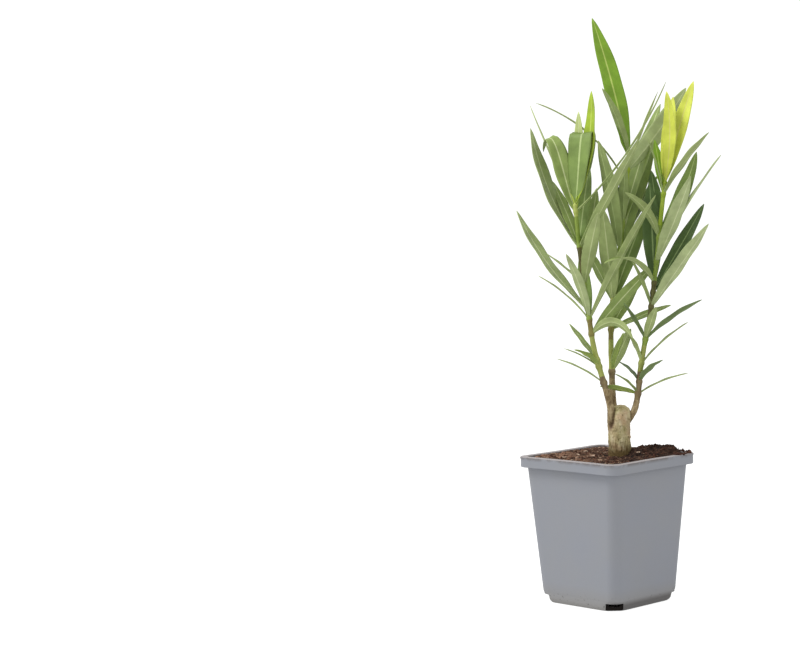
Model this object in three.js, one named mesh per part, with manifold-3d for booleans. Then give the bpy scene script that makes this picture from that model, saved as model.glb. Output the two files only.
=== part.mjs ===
// A potted oleander: a short old trunk with three young leafy shoots, in a square nursery pot of soil.
// Millimetres, +Z up. The origin is the middle of the pot's flat underside, and the pot's sides are
// square with X and Y. The plant stands in the pot turned, so that its broad side looks past a corner.

import * as THREE from 'three';
import { mergeVertices } from 'three/addons/utils/BufferGeometryUtils.js';
import Module from 'manifold-3d';

const wasm = await Module();
wasm.setup();

// Pot
const POT_HEIGHT = 135.7;
const RIM_SIDE = 120;        // across the flats of the rim
const RIM_LIP = 9.7;         // height of the rim's band
const RIM_CORNER = 11;       // radius of the rim's corners
const RIM_EDGE = 0.8;        // worn rounding along the rim's top
const RIM_BOW = 1.2;         // how far the long sides of the rim are drawn in at their middles
const WALL = 1.6;            // thickness of the walls
const WALL_TOP_SIDE = 109.5; // across the walls just under the rim
const WALL_LOW_SIDE = 92;    // across the walls just above the foot
const WALL_CORNER = 10;
const FOOT_SIDE = 91.5;
const FOOT_CORNER = 14.5;    // rounder than the walls above it, so that the foot is set in at the corners
const FOOT_EDGE = 2;         // how far the foot is drawn in at its underside
const FOOT_HEIGHT = 7.6;
const FOOT_STEP = 0.9;       // height of the slope between foot and wall
const FLOOR = 2.5;           // thickness of the pot's floor
const DRAIN_WIDTH = 16;      // slot at each corner of the foot
const DRAIN_HEIGHT = 7.2;
const DRAIN_DEPTH = 5;       // how far a slot reaches in from the corner
const CORNER_STEPS = 5;      // flats on a rounded corner
const SIDE_STEPS = 4;        // stretches of a bowed side

// Soil
const SOIL_LEVEL = 134.4;    // where the trunk rises out of it
const SOIL_EDGE_DROP = 0.4;  // how far it lies lower at the wall
const SOIL_LUMPS = 60;
const SOIL_RINGS = 8;
const HEAPS = [
  { x: 27, y: -1, spread: 11, height: 4.5 },
  { x: 38, y: 22, spread: 18, height: 6.5 },
  { x: 60, y: 5, spread: 16, height: 8 },
];

// Trunk: height above its flat cut, radius there, and how far its middle lies from the foot's
const TRUNK_FOOT = { x: 12.2, y: 0 };
const TRUNK_STATIONS = [
  { up: 0, radius: 10.8, lean: 0.2 },
  { up: 6, radius: 10.4, lean: 0 },
  { up: 16, radius: 10.1, lean: -0.6 },
  { up: 26, radius: 10, lean: -0.4 },
  { up: 35.5, radius: 10.5, lean: 0.2 },
  { up: 41, radius: 9.8, lean: 0.8 },
  { up: 44.5, radius: 7.6, lean: 1.2 },
  { up: 46.6, radius: 4.2, lean: 1.4 },
];
const TRUNK_CROWN = 47.4;    // height of the rounded top above the cut
const TRUNK_SIDES = 16;
const TRUNK_RIBS = 0.45;     // depth of the shallow ribs of old bark

// Shoots and leaves
const GAP = 0.3;             // clearance between neighbouring pieces
const LIMB_SIDES = 8;
const LIMB_STEP = 7;         // distance between a limb's rings
const LEAF_STATIONS = [0, 0.07, 0.2, 0.38, 0.56, 0.74, 0.9];
const FOLD_STATIONS = [0, 0.07, 0.2, 0.36, 0.5, 0.58, 0.64, 0.7, 0.76, 0.82, 0.9]; // where the end folds over
const LEAF_WIDTH = 0.165;    // width over length
const LEAF_NARROWEST = 9;
const LEAF_WIDEST = 19.5;
const LEAF_FULLNESS = 0.7;   // smaller makes the ends of a blade blunter
const LEAF_THICKNESS = 0.011; // at the foot of the midrib, over length
const LEAF_KEEL = 0.12;      // rise of a blade's edges over its half width
const PETIOLE_HALF = 1.2;    // half width of the leaf stalk
const WIDTH_SPREAD = 0.06;   // share by which one leaf is wider or narrower than the rule
const TWIST_SPREAD = 8;      // degrees by which a blade is twisted about its midrib
const TOUCH = 0.35;          // a leaf that comes this near another piece is skipped
const SEED = 2411;

// The plant's own frame: x to the right of its broad side, y away from it, z up
const PLANT_TURN = THREE.MathUtils.degToRad(-49.5);

// Each shoot: the middles of its limb from inside the trunk to its tip, its radius at both ends,
// the height where the bare bough ends, the height where its upper mass begins, and its whorls.
// A whorl is the height of its node and its leaves. A leaf is the direction it points in (degrees,
// 0 is the plant's right, 90 is its back), how far out and how far up its tip lies from its foot,
// how strongly it arches, how far its blade is rolled (degrees), how sharply its end folds over and
// by how much it is broader than the rule.
const SHOOTS = [
  {
    name: 'left',
    path: [[8, -2, 156], [5, -5.5, 170], [4, -7, 182], [-2, -8, 205], [-10, -9, 236], [-14.5, -9, 270],
      [-20.5, -9, 318], [-24.7, -9, 370]],
    radii: [4.2, 1.9],
    boughTop: 198,
    massSplit: 283,
    whorls: [
      [203, [[180, 43, 23, 0.10, 0, 0, 0.55]]],
      [218, [[212, 26, 17, 0.16, 0, 0, 1.25], [172, 32, 17, 0.10, 0, 0, 0.5]]],
      [224, [[140, 33, 33, 0]]],
      [248, [[340, 40, -4, 0.66, -62], [14, 60, 62, 0.02, 60, 0, 0.9]]],
      [262, [
        [185, 46, 41, 0.10, 0, 0, 0.75], [240, 39, 61, 0.10, 0, 0, 0.9], [100, 45, 58, 0.06],
        [340, 66, 112, 0.02, -10, 0, 0.7],
      ]],
      [271, [[147, 78, 92, -0.11, 0, 0, 1.05]]],
      [294, [[290, 42, 66, 0.04, 0, 0, 1.15], [175, 34, 29, 0.03], [75, 50, 88, 0.03, 50]]],
      [328, [
        [150, 50, 111, -0.12, 0, 0, 1.1], [128, 40, 62, 0.04], [318, 75, 97, -0.02, -8, 0, 0.62],
        [72, 34, 74, 0.05],
      ]],
      [361, [
        [125, 73, 101, -0.02, 44, 0, 0.35], [140, 38, 56, 0, -25, 0.9, 1.3],
        [345, 86, 114, -0.11, 5, 0, 0.45],
      ]],
      [367, [[60, 23, 26, 0, 0, 3.13, 1.35], [40, 22, 104, -0.12], [78, 22, 86, -0.14, 0, 0, 0.75]]],
    ],
  },
  {
    name: 'middle',
    path: [[9, 3.5, 160], [7, 6.5, 176], [6.3, 8, 190], [6.2, 9, 215], [5.9, 9, 240], [7.6, 10, 270],
      [15.6, 12, 324], [21.5, 14, 372], [25.8, 15, 413]],
    radii: [4.2, 1.8],
    boughTop: 206,
    massSplit: 300,
    whorls: [
      [212, [[330, 21, 40, 0.05, -40, 0, 1.35], [304, 20, 37, 0.02, 20, 0, 1.2]]],
      [251, [[10, 57, 21, 0.03, 25], [30, 31, 43, 0.05, 40, 0, 1.4]]],
      [277, [[143, 34, 54, 0.03, 0, 0, 1.3], [255, 30, 86, 0.02, 0, 0, 1.25], [25, 40, 90, 0.03, 55]]],
      [324, [[232, 29, 101, 0.04], [50, 60, 124, 0.04, 0, 0, 1.25], [30, 43, 69, 0.05]]],
      [347, [[37, 47, 112, 0.03, 0, 0, 1.1], [280, 20, 56, 0.06], [120, 26, 56, 0.05]]],
      [385, [[170, 84, 78, 0.20, 3, 0, 0.4]]],
      [398, [[20, 59, 75, -0.05, -85, 0, 1.15], [320, 37, 70, 0.02, 0, 0, 0.35]]],
      [410, [[137, 43, 131, 0.04, -15], [213, 28, 63, 0.10], [110, 24, 30, 0.05]]],
    ],
  },
  {
    name: 'right',
    path: [[18, 0, 163], [22.5, -0.5, 171], [27, -1, 179], [30.4, -1, 196], [32, -1, 212], [37.4, -2, 242],
      [42.8, -3, 270], [48.7, -4, 313], [53, -4, 350], [58, -4, 389]],
    radii: [3.6, 1.9],
    boughTop: 187,
    massSplit: 257,
    whorls: [
      [192, [[178, 35, 7, 0.05, 30], [200, 22, 19, 0.14], [0, 46, 18, 0.10, 0, 0, 0.8]]],
      [203, [[160, 19, 18, 0.12], [320, 28, 21, 0.12, 0, 0, 1.6]]],
      [220, [[200, 14, 30, 0.10], [0, 43, 37, 0.08]]],
      [242, [[215, 24, 35, 0.03], [348, 53, 36, 0.08, -28], [292, 26, 31, 0.03]]],
      [272, [[205, 19, 44, 0.05, 0, 0, 0.85], [325, 63, 75, 0, -14, 0, 1.15]]],
      [285, [[45, 71, 80, -0.02, 30, 0, 0.8]]],
      [294, [[226, 65, 20, 0.36], [100, 13, 92, 0.02, 0, 0, 1.15]]],
      [313, [[302, 57, 77, -0.03, 0, 0, 1.2], [2, 60, 96, 0.05]]],
      [335, [[215, 37, 42, 0.22, 35], [100, 30, 62, 0.05, 0, 0, 1.2], [30, 42, 78, -0.10, 32]]],
      [375, [[330, 47, 54, 0.06, 0, 0, 1.2], [200, 15, 52, 0.05, -21, 0, 0.7], [113, 18, 50, 0.02]]],
      [386, [[340, 3, 82, -0.10, 75], [43, 39, 92, 0.02, 25, 0, 0.95], [62, 20, 78, 0.02]]],
    ],
  },
];

const UP = new THREE.Vector3(0, 0, 1);

// Even draws between 0 and 1 from a seed, the same on any machine
function seededDraws(seed) {
  let state = seed;
  return () => {
    state = (state * 16807) % 2147483647;
    return state / 2147483647;
  };
}

function geometryOf(points, faces) {
  const geometry = new THREE.BufferGeometry();
  const positions = points.flatMap((p) => [p.x, p.y, p.z]);
  geometry.setAttribute('position', new THREE.Float32BufferAttribute(positions, 3));
  geometry.setIndex(faces.flat());
  return geometry;
}

// A closed body over rings of equal count, each anticlockwise seen from the end it leads to.
// Both ends close on a middle point: that of the ring itself, or the one given for the last ring.
function loft(rings, lastPoint) {
  const count = rings[0].length;
  const points = rings.flat();
  const faces = [];
  for (let i = 0; i + 1 < rings.length; i += 1) {
    for (let k = 0; k < count; k += 1) {
      const a = i * count + k;
      const b = i * count + (k + 1) % count;
      faces.push([a, b, b + count], [a, b + count, a + count]);
    }
  }
  const middle = (ring) => ring.reduce((sum, p) => sum.add(p), new THREE.Vector3()).divideScalar(count);
  const first = points.push(middle(rings[0])) - 1;
  const last = points.push(lastPoint ?? middle(rings[rings.length - 1])) - 1;
  const top = (rings.length - 1) * count;
  for (let k = 0; k < count; k += 1) {
    const next = (k + 1) % count;
    faces.push([first, next, k], [last, top + k, top + next]);
  }
  return geometryOf(points, faces);
}

function solidOf(geometry) {
  const bare = geometry.clone();
  bare.deleteAttribute('normal');
  bare.deleteAttribute('uv');
  const merged = mergeVertices(bare, 1e-4);
  return new wasm.Manifold(new wasm.Mesh({
    numProp: 3,
    vertProperties: Float32Array.from(merged.attributes.position.array),
    triVerts: Uint32Array.from(merged.index.array),
  }));
}

function geometryOfSolid(solid) {
  const mesh = solid.getMesh();
  const geometry = new THREE.BufferGeometry();
  geometry.setAttribute('position', new THREE.BufferAttribute(Float32Array.from(mesh.vertProperties), 3));
  geometry.setIndex(new THREE.BufferAttribute(Uint32Array.from(mesh.triVerts), 1));
  return geometry;
}

function piece(name, solid, color, roughness, parent) {
  const material = new THREE.MeshStandardMaterial({ color, roughness, metalness: 0 });
  const mesh = new THREE.Mesh(geometryOfSolid(solid), material);
  mesh.name = name;
  parent.add(mesh);
}

// Level outline of the pot: a rounded square whose long sides are drawn in by bow at their middles
function roundedSquare(side, corner, z, bow = 0) {
  const ring = [];
  const flat = side / 2 - corner;
  for (let quarter = 0; quarter < 4; quarter += 1) {
    const turn = quarter * Math.PI / 2;
    const put = (x, y) => ring.push(new THREE.Vector3(x, y, z).applyAxisAngle(UP, turn));
    for (let k = 0; k < SIDE_STEPS; k += 1) {
      const along = -1 + 2 * k / SIDE_STEPS;
      put(side / 2 - bow * (1 - along * along), along * flat);
    }
    for (let k = 0; k < CORNER_STEPS; k += 1) {
      const angle = k / CORNER_STEPS * Math.PI / 2;
      put(flat + corner * Math.cos(angle), flat + corner * Math.sin(angle));
    }
  }
  return ring;
}

const lipLow = POT_HEIGHT - RIM_LIP;
const wallSlope = (WALL_TOP_SIDE - WALL_LOW_SIDE) / (lipLow - FOOT_HEIGHT);
const wallSide = (z) => WALL_LOW_SIDE + wallSlope * (z - FOOT_HEIGHT);
const insideCorner = WALL_CORNER - WALL;
const shelf = FOOT_HEIGHT + WALL; // height inside where the foot is set in

function potSolid() {
  const outside = [
    roundedSquare(FOOT_SIDE - 2 * FOOT_EDGE, FOOT_CORNER + FOOT_EDGE, 0),
    roundedSquare(FOOT_SIDE, FOOT_CORNER, 2 * FOOT_EDGE),
    roundedSquare(FOOT_SIDE, FOOT_CORNER, FOOT_HEIGHT - FOOT_STEP),
    roundedSquare(WALL_LOW_SIDE, WALL_CORNER, FOOT_HEIGHT),
    roundedSquare(wallSide(lipLow), WALL_CORNER, lipLow, RIM_BOW),
    roundedSquare(RIM_SIDE - 1, RIM_CORNER, lipLow, RIM_BOW),
    roundedSquare(RIM_SIDE, RIM_CORNER, POT_HEIGHT - RIM_EDGE, RIM_BOW),
    roundedSquare(RIM_SIDE - 2 * RIM_EDGE, RIM_CORNER - RIM_EDGE, POT_HEIGHT, RIM_BOW),
  ];
  const inside = [
    roundedSquare(wallSide(POT_HEIGHT) - 2 * WALL, insideCorner, POT_HEIGHT, RIM_BOW),
    roundedSquare(wallSide(shelf) - 2 * WALL, insideCorner, shelf),
    roundedSquare(FOOT_SIDE - 2 * WALL, FOOT_CORNER - WALL, shelf - FOOT_STEP),
    roundedSquare(FOOT_SIDE - 2 * WALL - 2 * FOOT_EDGE, FOOT_CORNER, FLOOR),
  ];
  let pot = solidOf(loft([...outside, ...inside]));
  const cornerReach = FOOT_SIDE / Math.SQRT2 - FOOT_CORNER * (Math.SQRT2 - 1);
  for (let quarter = 0; quarter < 4; quarter += 1) {
    const drain = new THREE.BoxGeometry(2 * DRAIN_DEPTH, DRAIN_WIDTH, 2 * DRAIN_HEIGHT);
    drain.translate(cornerReach, 0, 0);
    drain.rotateZ(Math.PI / 4 + quarter * Math.PI / 2);
    pot = pot.subtract(solidOf(drain));
  }
  return pot;
}

// Trunk: old bark over a rounded crown, standing on a flat cut. Grown makes it thicker all round.
function trunkSolid(grown = 0) {
  const rings = TRUNK_STATIONS.map(({ up, radius, lean }) => {
    const ring = [];
    for (let k = 0; k < TRUNK_SIDES; k += 1) {
      const angle = k / TRUNK_SIDES * 2 * Math.PI;
      const ribs = TRUNK_RIBS * Math.sin(3 * angle + up / 9) + TRUNK_RIBS * Math.sin(5 * angle - up / 13) / 2;
      const reach = radius + ribs + grown;
      const level = SOIL_LEVEL + up + (up > 0 ? grown : -grown);
      ring.push(new THREE.Vector3(
        TRUNK_FOOT.x + lean + reach * Math.cos(angle),
        TRUNK_FOOT.y + reach * Math.sin(angle),
        level,
      ));
    }
    return ring;
  });
  const lean = TRUNK_STATIONS[TRUNK_STATIONS.length - 1].lean;
  const crown = new THREE.Vector3(TRUNK_FOOT.x + lean, TRUNK_FOOT.y, SOIL_LEVEL + TRUNK_CROWN + grown);
  return solidOf(loft(rings, crown));
}

// Soil: fills the pot, with seeded lumps on top and heaps at the plant's right and back
function soilSolid(trunkCutter) {
  const draw = seededDraws(SEED);
  const lumps = Array.from({ length: SOIL_LUMPS }, () => ({
    x: (draw() - 0.5) * WALL_TOP_SIDE,
    y: (draw() - 0.5) * WALL_TOP_SIDE,
    spread: 3.5 + 4.5 * draw(),
    height: (draw() - 0.3) * 2.6,
  }));
  for (const heap of HEAPS) {
    const { x, y } = new THREE.Vector3(heap.x, heap.y, 0).applyAxisAngle(UP, PLANT_TURN);
    lumps.push({ ...heap, x, y });
  }
  const swell = (p, lump) => Math.exp(-((p.x - lump.x) ** 2 + (p.y - lump.y) ** 2) / lump.spread ** 2);
  const rise = (p) => lumps.reduce((sum, lump) => sum + lump.height * swell(p, lump), 0);
  const wallGap = (z) => wallSide(z) - 2 * WALL - 3 * GAP;
  const footGap = FOOT_SIDE - 2 * WALL - 3 * GAP;
  const rings = [
    roundedSquare(footGap - 2 * FOOT_EDGE, FOOT_CORNER, FLOOR + GAP),
    roundedSquare(footGap, FOOT_CORNER - WALL, shelf - FOOT_STEP + 2 * GAP),
    roundedSquare(wallGap(shelf), insideCorner, shelf + 2 * GAP),
  ];
  const edge = SOIL_LEVEL - SOIL_EDGE_DROP;
  const outline = roundedSquare(wallGap(edge), insideCorner, edge, RIM_BOW);
  rings.push(outline);
  for (let k = 1; k < SOIL_RINGS; k += 1) {
    const inward = k / SOIL_RINGS;
    rings.push(outline.map((p) => {
      const q = new THREE.Vector3(p.x * (1 - inward), p.y * (1 - inward), 0);
      q.z = edge + SOIL_EDGE_DROP * Math.min(1, 2 * inward) + rise(q);
      return q;
    }));
  }
  const middle = new THREE.Vector3(0, 0, 0);
  middle.z = SOIL_LEVEL + rise(middle);
  return solidOf(loft(rings, middle)).subtract(trunkCutter);
}

// A limb's middle line, and the place on it at a given height
function limbCurve(shoot) {
  return new THREE.CatmullRomCurve3(shoot.path.map((p) => new THREE.Vector3(...p)), false, 'catmullrom', 0.5);
}

function shareAtHeight(curve, height) {
  let low = 0;
  let high = 1;
  for (let k = 0; k < 40; k += 1) {
    const half = (low + high) / 2;
    if (curve.getPoint(half).z < height) low = half;
    else high = half;
  }
  return (low + high) / 2;
}

// One stretch of a limb between two heights, round and tapering evenly from foot to tip
function limbStretch(shoot, fromHeight, toHeight) {
  const curve = limbCurve(shoot);
  const from = shareAtHeight(curve, fromHeight);
  const to = shareAtHeight(curve, toHeight);
  const steps = Math.ceil((toHeight - fromHeight) / LIMB_STEP);
  const [thick, thin] = shoot.radii;
  const rings = [];
  for (let i = 0; i <= steps; i += 1) {
    const share = from + (to - from) * i / steps;
    const centre = curve.getPoint(share);
    const along = curve.getTangent(share);
    const across = new THREE.Vector3(1, 0, 0).projectOnPlane(along).normalize();
    const over = new THREE.Vector3().crossVectors(along, across);
    const radius = thick + (thin - thick) * Math.sqrt(share);
    const ring = [];
    for (let k = 0; k < LIMB_SIDES; k += 1) {
      const angle = k / LIMB_SIDES * 2 * Math.PI;
      ring.push(centre.clone()
        .addScaledVector(across, radius * Math.cos(angle))
        .addScaledVector(over, radius * Math.sin(angle)));
    }
    rings.push(ring);
  }
  return solidOf(loft(rings));
}

// A leaf's midrib: from its foot in the middle of the limb, out in one direction and up to its tip
function midrib(foot, [direction, reach, rise, arch, , fold = 0]) {
  const angle = THREE.MathUtils.degToRad(direction);
  const outward = new THREE.Vector3(Math.cos(angle), Math.sin(angle), 0);
  const chord = Math.hypot(reach, rise);
  const tip = foot.clone().addScaledVector(outward, reach).addScaledVector(UP, rise);
  const bulge = outward.clone().multiplyScalar(-rise / chord).addScaledVector(UP, reach / chord)
    .multiplyScalar(arch * chord * 2 / 3);
  const lower = foot.clone().lerp(tip, 1 / 3).add(bulge);
  const upper = foot.clone().lerp(tip, 2 / 3).add(bulge).addScaledVector(UP, fold * chord);
  return { curve: new THREE.CubicBezierCurve3(foot, lower, upper, tip), outward };
}

// A leaf: a lance-shaped blade, thickest at its midrib, its edges raised to a shallow keel
function leafSolid(foot, leaf, widthFactor, twist, grown = 0) {
  const { curve, outward } = midrib(foot, leaf);
  const length = curve.getLength();
  const roll = THREE.MathUtils.degToRad((leaf[4] ?? 0) + twist);
  const level = new THREE.Vector3().crossVectors(UP, outward);
  const usual = THREE.MathUtils.clamp(LEAF_WIDTH * length, LEAF_NARROWEST, LEAF_WIDEST);
  const width = usual * widthFactor * (leaf[6] ?? 1);
  const rings = (leaf[5] ? FOLD_STATIONS : LEAF_STATIONS).map((share) => {
    const centre = curve.getPointAt(share);
    const along = curve.getTangentAt(share);
    const across = level.clone().applyAxisAngle(along, roll);
    const face = new THREE.Vector3().crossVectors(along, across);
    const blade = width / 2 * Math.sin(Math.PI * share) ** LEAF_FULLNESS;
    const half = Math.max(PETIOLE_HALF, blade) + grown;
    const thick = Math.max(PETIOLE_HALF, LEAF_THICKNESS * length * (1 - share / 3)) + grown;
    const keel = LEAF_KEEL * half;
    return [
      centre.clone().addScaledVector(across, half).addScaledVector(face, -keel),
      centre.clone().addScaledVector(face, thick / 2),
      centre.clone().addScaledVector(across, -half).addScaledVector(face, -keel),
      centre.clone().addScaledVector(face, -thick / 2 - keel),
    ];
  });
  const tip = curve.getPointAt(1).addScaledVector(curve.getTangentAt(1), grown);
  return solidOf(loft(rings, tip));
}

// A mass: one stretch of a shoot's stem with its leaves fused on. A leaf that would come too near
// any other piece is skipped.
function massSolid(shoot, fromHeight, toHeight, draw, neighbours) {
  const curve = limbCurve(shoot);
  let mass = limbStretch(shoot, fromHeight, toHeight);
  for (const [height, leaves] of shoot.whorls) {
    if (height < fromHeight || height > toHeight) continue;
    const foot = curve.getPoint(shareAtHeight(curve, height));
    for (const leaf of leaves) {
      const widthFactor = 1 + (2 * draw() - 1) * WIDTH_SPREAD;
      const twist = (2 * draw() - 1) * TWIST_SPREAD;
      const room = leafSolid(foot, leaf, widthFactor, twist, TOUCH);
      const touched = neighbours.findIndex((other) => other.intersect(room).volume() > 0);
      if (touched >= 0) {
        console.log(`${shoot.name} ${height}: leaf at ${leaf[0]} degrees skipped, near piece ${touched}`);
        continue;
      }
      mass = mass.add(leafSolid(foot, leaf, widthFactor, twist));
    }
  }
  return mass;
}

const pottedOleander = new THREE.Group();
const plant = new THREE.Group();
plant.rotation.z = PLANT_TURN;
pottedOleander.add(plant);

const trunk = trunkSolid();
const grownTrunk = trunkSolid(GAP);
const turnedTrunk = solidOf(geometryOfSolid(grownTrunk).rotateZ(PLANT_TURN));
piece('pot', potSolid(), 0x8f9299, 0.6, pottedOleander);
piece('soil', soilSolid(turnedTrunk), 0x33261e, 1, pottedOleander);
piece('trunk', trunk, 0xa39775, 0.9, plant);

const neighbours = [trunk];
for (const shoot of SHOOTS) {
  const bough = limbStretch(shoot, shoot.path[0][2], shoot.boughTop).subtract(grownTrunk);
  piece(`bough_${shoot.name}`, bough, 0x7c6f58, 0.8, plant);
  neighbours.push(bough);
}

const draw = seededDraws(SEED);
const masses = SHOOTS.flatMap((shoot) => [
  {
    shoot,
    name: `leaves_${shoot.name}_lower`,
    from: shoot.boughTop + GAP,
    to: shoot.massSplit,
    color: 0x6f8f4a,
  },
  {
    shoot,
    name: `leaves_${shoot.name}_upper`,
    from: shoot.massSplit + GAP,
    to: shoot.path[shoot.path.length - 1][2],
    color: 0x84a34e,
  },
]);
for (const { shoot, name, from, to, color } of masses) {
  const stems = masses.filter((other) => other.name !== name)
    .map((other) => limbStretch(other.shoot, other.from, other.to));
  const mass = massSolid(shoot, from, to, draw, [...neighbours, ...stems]);
  piece(name, mass, color, 0.55, plant);
  neighbours.push(mass);
}

export default pottedOleander;
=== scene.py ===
# %% [markdown]
# A young oleander in a square nursery pot: a short, thick, cut-back trunk, and three slender shoots from
# its top with whorls of long, narrow leaves. The solid model gives the pot, the soil, the trunk, the boughs
# and six masses of leaves. Here each gets its fine surface: moulded plastic, crumbly peat, old bark, green
# stems and thin leaves with a pale midrib.

# %% Load the frame
import math

import bmesh
import bpy
from mathutils import Matrix, Vector, noise


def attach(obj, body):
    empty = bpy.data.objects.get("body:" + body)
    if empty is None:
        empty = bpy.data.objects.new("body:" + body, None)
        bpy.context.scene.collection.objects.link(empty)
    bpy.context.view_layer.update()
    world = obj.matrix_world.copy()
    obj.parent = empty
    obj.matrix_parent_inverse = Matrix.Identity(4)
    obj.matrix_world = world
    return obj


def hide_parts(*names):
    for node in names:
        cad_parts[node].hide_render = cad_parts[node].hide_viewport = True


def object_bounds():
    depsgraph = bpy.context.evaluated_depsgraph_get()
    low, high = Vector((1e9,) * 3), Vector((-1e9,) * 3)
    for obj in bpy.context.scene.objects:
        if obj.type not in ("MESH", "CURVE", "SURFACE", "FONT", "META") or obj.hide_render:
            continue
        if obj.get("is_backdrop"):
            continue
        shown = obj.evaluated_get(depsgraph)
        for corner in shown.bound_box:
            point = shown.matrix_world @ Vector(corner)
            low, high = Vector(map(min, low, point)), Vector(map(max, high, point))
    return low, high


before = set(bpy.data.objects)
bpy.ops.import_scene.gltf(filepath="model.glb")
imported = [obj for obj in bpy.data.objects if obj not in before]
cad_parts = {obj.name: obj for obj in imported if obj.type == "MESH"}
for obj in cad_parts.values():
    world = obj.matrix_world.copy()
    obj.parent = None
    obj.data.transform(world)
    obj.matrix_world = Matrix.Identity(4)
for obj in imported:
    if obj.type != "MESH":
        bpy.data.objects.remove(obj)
cad_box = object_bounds()
print(len(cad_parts), "solids, in mm:", [round((high - low) * 1000) for low, high in zip(*cad_box)])

# %% [markdown]
# The plant was measured in a frame of its own, in millimetres: x to the right of its broad side, y away
# from the viewer, z up from the pot's underside. The pot's sides are square with X and Y of the part, and
# the plant stands in it turned by 49.5 degrees.

# %% The plant's own frame
MM = 0.001
PLANT_TURN = math.radians(-49.5)
TURN = Matrix.Rotation(PLANT_TURN, 3, "Z")


def placed(point):
    """A point of the plant's frame in millimetres, as a point of the part in metres."""
    return (TURN @ Vector(point)) * MM


# %% [markdown]
# The camera comes first. It stands almost two metres away at two thirds of the plant's height, looks a
# little down and is tipped by one degree. Then it is panned and tilted until what it looked at falls on the
# aim pixel, right of the picture's middle.

# %% Camera
CAMERA_SENSOR = 36
PICTURE = (800, 667)
AIM_PIXEL = (606, 330)
FOCAL_PIXELS = 1990
EYE = (1.5, -1842.6, 363.8)
LOOK_DOWN = math.radians(3.5)
TIPPED = math.radians(-1.1)


def add_object(add, **settings):
    """Adds an object by an operator, with nothing else selected."""
    bpy.ops.object.select_all(action="DESELECT")
    add(**settings)
    return bpy.context.object


def aim_camera():
    pan = math.atan((AIM_PIXEL[0] - PICTURE[0] / 2) / FOCAL_PIXELS)
    tilt = math.atan((PICTURE[1] / 2 - AIM_PIXEL[1]) / FOCAL_PIXELS)
    axes = TURN
    for angle, axis in ((math.pi / 2 - LOOK_DOWN, "X"), (TIPPED, "Z"), (pan, "Y"), (-tilt, "X")):
        axes = axes @ Matrix.Rotation(angle, 3, axis)
    camera = add_object(bpy.ops.object.camera_add, location=placed(EYE), rotation=axes.to_euler())
    camera.data.sensor_width = CAMERA_SENSOR
    camera.data.lens = CAMERA_SENSOR * FOCAL_PIXELS / PICTURE[0]
    camera.data.clip_start = 0.05
    camera.data.clip_end = 30
    bpy.context.scene.camera = camera


aim_camera()

# %% [markdown]
# The plant stands on a white floor in soft light. A bright world and the glow of the floor give most of it,
# and a broad lamp high at the left shapes the pot's corner and the leaves. World and floor look brighter to
# the camera than they shine, so the ground stays white while the plant keeps its shades.

# %% Floor and light
FLOOR_SIZE = 24.0
FLOOR_HEIGHT = -0.0005
LAMP_PLACE = (-1450, -420, 2350)
LAMP_AIM = (0, 0, 230)
LAMP_SIZE = 1.1
LAMP_POWER = 40
WORLD_GLOW = (0.92, 1.1)  # as it shines on the plant, and as the camera sees it
FLOOR_GLOW = (0.5, 0.9)
WHITE = (1.0, 1.0, 1.0, 1.0)


def sight(red, green, blue):
    """A colour as the eye reads it, 0 to 255 a channel, as the linear colour that a shader takes."""
    linear = [(c / 255 / 12.92 if c < 11 else ((c / 255 + 0.055) / 1.055) ** 2.4) for c in (red, green, blue)]
    return (*linear, 1.0)


def connect(owner, target, value):
    """Sets an input to a value, or links it to another node's socket."""
    if isinstance(value, bpy.types.NodeSocket):
        owner.node_tree.links.new(value, target)
    else:
        target.default_value = value


def set_inputs(owner, node, inputs):
    """Inputs are given by name, with _ for a space."""
    for name, value in inputs.items():
        connect(owner, node.inputs[name.replace("_", " ")], value)


def add_node(owner, kind, **inputs):
    node = owner.node_tree.nodes.new("ShaderNode" + kind)
    set_inputs(owner, node, inputs)
    return node


def set_shader(material, **inputs):
    set_inputs(material, material.node_tree.nodes["Principled BSDF"], inputs)


def plain_material(name, colour, roughness, gloss):
    material = bpy.data.materials.new(name)
    material.use_nodes = True
    set_shader(material, Base_Color=colour, Roughness=roughness, Specular_IOR_Level=gloss)
    material.diffuse_color = colour
    return material


def glow(owner, shining, seen):
    """A strength of one value for the light it gives and another for how bright it looks."""
    to_camera = add_node(owner, "LightPath").outputs["Is Camera Ray"]
    return add_node(owner, "MapRange", Value=to_camera, To_Min=shining, To_Max=seen).outputs["Result"]


def light_the_scene():
    world = bpy.data.worlds.new("soft daylight")
    world.use_nodes = True
    glowing = {"Color": WHITE, "Strength": glow(world, *WORLD_GLOW)}
    set_inputs(world, world.node_tree.nodes["Background"], glowing)
    bpy.context.scene.world = world
    place = placed(LAMP_PLACE)
    turned = (placed(LAMP_AIM) - place).to_track_quat("-Z", "Y").to_euler()
    lamp = add_object(bpy.ops.object.light_add, type="AREA", location=place, rotation=turned)
    lamp.data.shape = "DISK"
    lamp.data.size = LAMP_SIZE
    lamp.data.energy = LAMP_POWER
    bpy.context.scene.view_settings.view_transform = "Standard"


floor = add_object(bpy.ops.mesh.primitive_plane_add, size=FLOOR_SIZE, location=(0, 0, FLOOR_HEIGHT))
floor.name = "floor"
paper = plain_material("floor paper", (0.3, 0.3, 0.3, 1.0), 0.95, 0.0)
set_shader(paper, Emission_Color=WHITE, Emission_Strength=glow(paper, *FLOOR_GLOW))
floor.data.materials.append(paper)
floor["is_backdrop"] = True
light_the_scene()

# %% [markdown]
# A tube-like piece such as the pot starts as a flat grid that is rolled up: its columns run round the
# piece, its rows along it, the seam is merged and both ends are filled. That is quicker than extruding ring
# after ring, and its rows can lie close wherever a bend needs them.

# %% Helpers for shaping
def select_only(pieces):
    bpy.ops.object.select_all(action="DESELECT")
    for piece in pieces:
        piece.select_set(True)
    bpy.context.view_layer.objects.active = pieces[0]


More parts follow.
